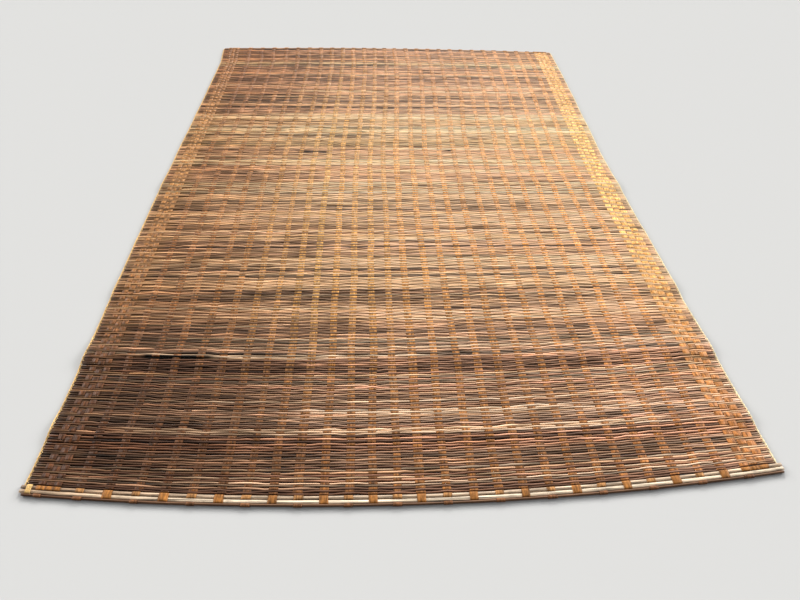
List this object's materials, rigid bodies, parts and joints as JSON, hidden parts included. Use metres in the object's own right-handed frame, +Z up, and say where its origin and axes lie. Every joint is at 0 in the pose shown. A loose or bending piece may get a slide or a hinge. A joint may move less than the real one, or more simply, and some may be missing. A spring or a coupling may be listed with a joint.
{
  "type": "woven reed floor mat",
  "caption": "Large flat floor mat of slim brown reeds woven through lengthwise bark strips, with checked side borders, corded edges and a cane-bound end.",
  "frame": {"origin": "middle of the mat on the floor: the centre of the underside of its bounding box", "axes": "+X across the mat to the right seen from the cane-bound end, +Y along its length to the far end, +Z up"},
  "size_m": [1.8431, 2.8493, 0.0143],
  "materials": {
    "reed": "dry brown reed skin, satin",
    "bark": "orange-brown fibrous bark strip, satin",
    "cane": "pale split cane with a smooth skin",
    "fibre": "pale dry twined fibre, matt"
  },
  "bodies": {
    "root": {"cane_back": "cane", "cane_front": "cane", "corner_binding": "fibre", "edge_cord_left": "fibre", "edge_cord_right": "fibre", "rod_far": "reed", "rod_near": "reed", "woven_body": "reed", "wrap_back_01": "bark", "wrap_back_03": "bark", "wrap_back_05": "bark", "wrap_back_07": "bark", "wrap_back_09": "bark", "wrap_back_11": "bark", "wrap_back_13": "bark", "wrap_back_15": "bark", "wrap_back_17": "bark", "wrap_back_19": "bark", "wrap_back_21": "bark", "wrap_back_23": "bark", "wrap_back_25": "bark", "wrap_full_02": "bark", "wrap_full_04": "bark", "wrap_full_06": "bark", "wrap_full_08": "bark", "wrap_full_10": "bark", "wrap_full_12": "bark", "wrap_full_14": "bark", "wrap_full_16": "bark", "wrap_full_18": "bark", "wrap_full_20": "bark", "wrap_full_22": "bark", "wrap_full_24": "bark", "wrap_full_26": "bark", "wrap_rod_01": "bark", "wrap_rod_03": "bark", "wrap_rod_05": "bark", "wrap_rod_07": "bark", "wrap_rod_09": "bark", "wrap_rod_11": "bark", "wrap_rod_13": "bark", "wrap_rod_15": "bark", "wrap_rod_17": "bark", "wrap_rod_19": "bark", "wrap_rod_21": "bark", "wrap_rod_23": "bark", "wrap_rod_25": "bark", "wrap_side_01": "bark", "wrap_side_02": "bark", "wrap_side_03": "bark", "wrap_side_04": "bark", "wrap_side_05": "bark", "wrap_side_06": "bark", "wrap_side_rod_01": "bark", "wrap_side_rod_04": "bark"}
  },
  "joints": []
}
